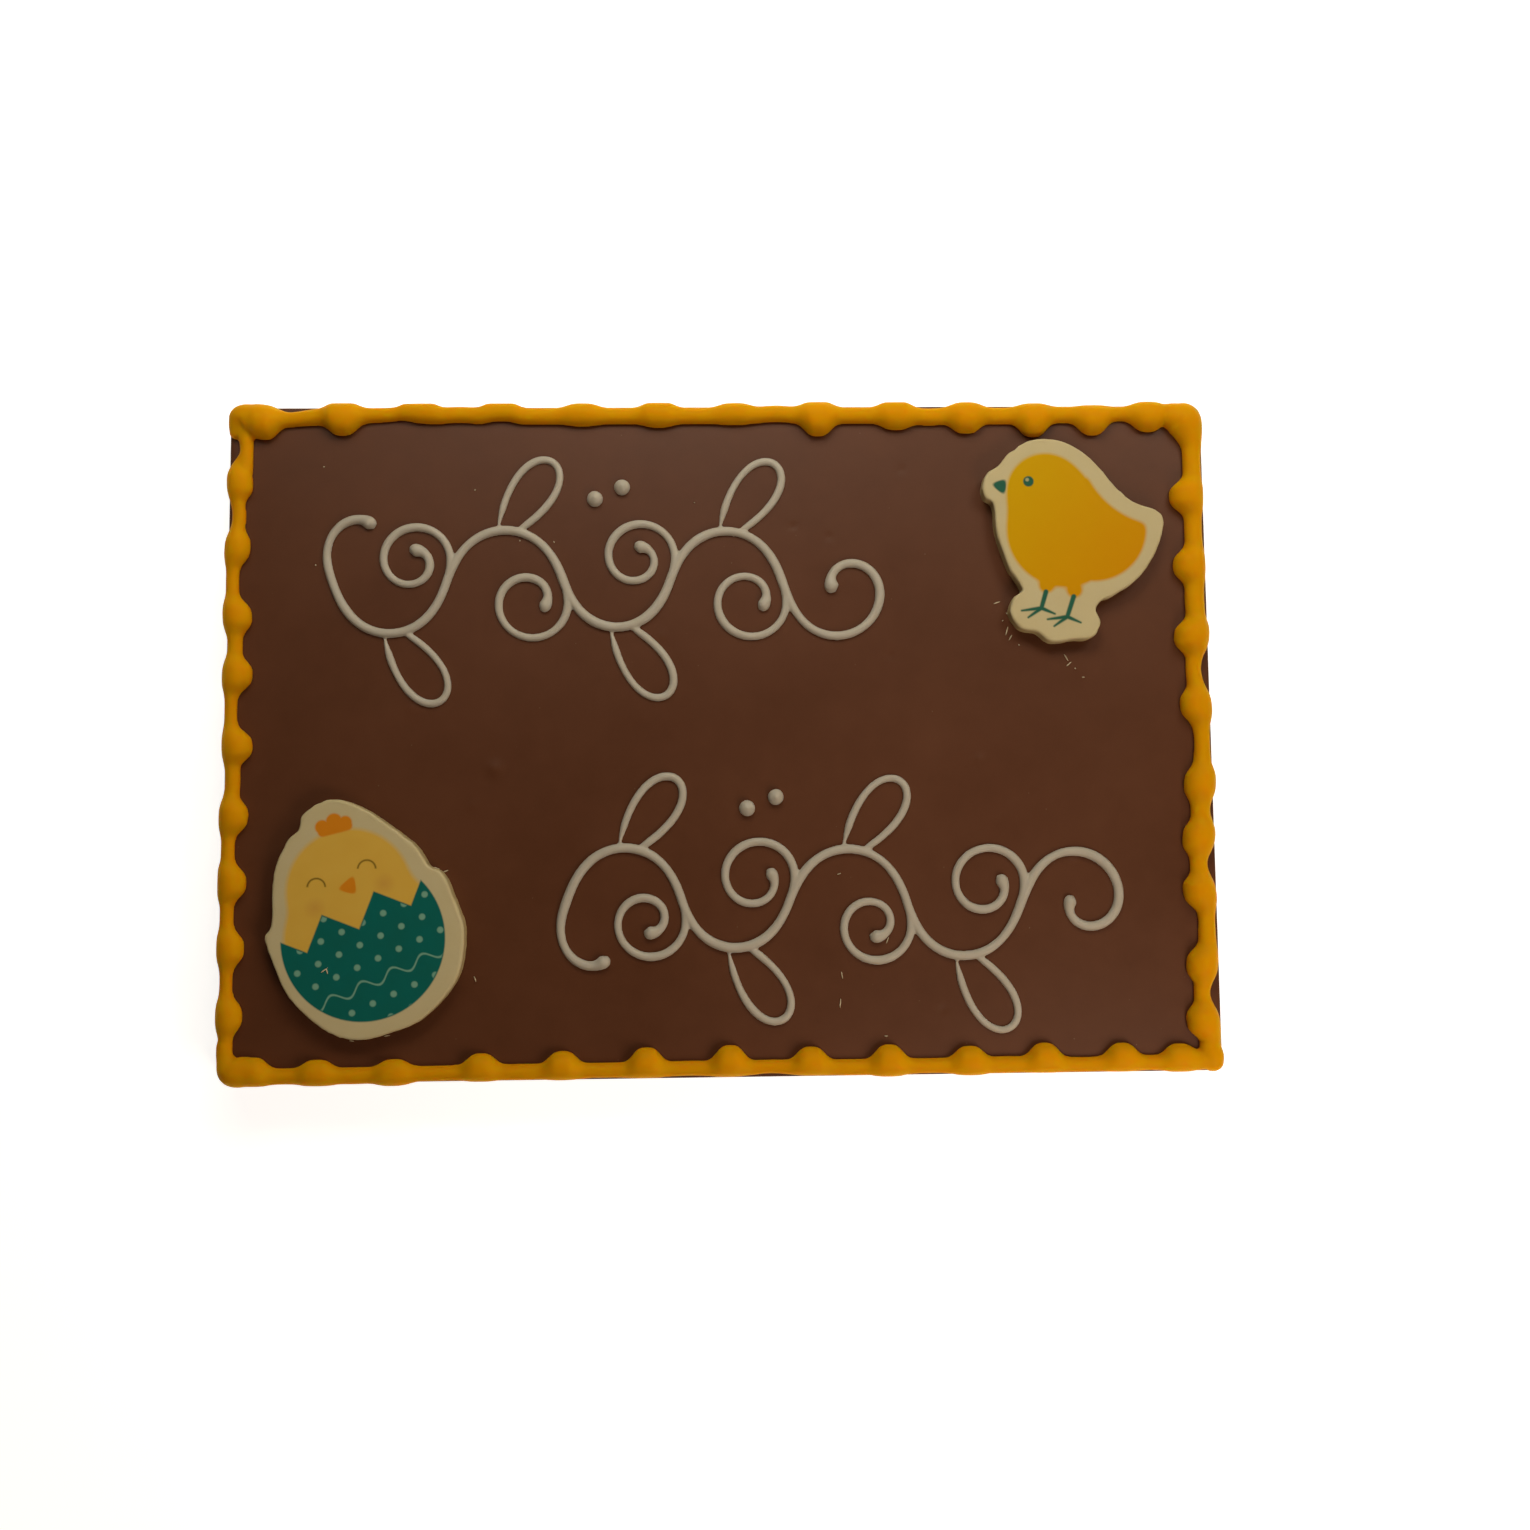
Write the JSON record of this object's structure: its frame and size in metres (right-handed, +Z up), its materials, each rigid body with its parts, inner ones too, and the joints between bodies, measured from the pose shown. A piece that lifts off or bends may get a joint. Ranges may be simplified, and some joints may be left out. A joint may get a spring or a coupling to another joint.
{
  "type": "chocolate bar",
  "caption": "Flat rectangular milk chocolate slab with a beaded piped border, printed chick plaques and piped vine scrolls on its top.",
  "frame": {"origin": "middle of the slab's underside, on the surface that it lies on", "axes": "+X along the long side, +Y across the slab towards the edge by the standing chick, +Z up through the decorated face"},
  "size_m": [0.2, 0.137, 0.0122],
  "materials": {
    "milk_chocolate": "satin, cast",
    "yellow_icing": "soft gloss, piped",
    "cream_icing": "soft gloss, piped",
    "printed_plaque": "satin, printed on top"
  },
  "bodies": {
    "root": {"slab": "milk_chocolate", "border_top": "yellow_icing", "border_right": "yellow_icing", "border_bottom": "yellow_icing", "border_left": "yellow_icing", "chick_plaque": "printed_plaque", "hatching_plaque": "printed_plaque", "vine_upper": "cream_icing", "vine_lower": "cream_icing", "dot_1": "cream_icing", "dot_2": "cream_icing", "dot_3": "cream_icing", "dot_4": "cream_icing"}
  },
  "joints": []
}
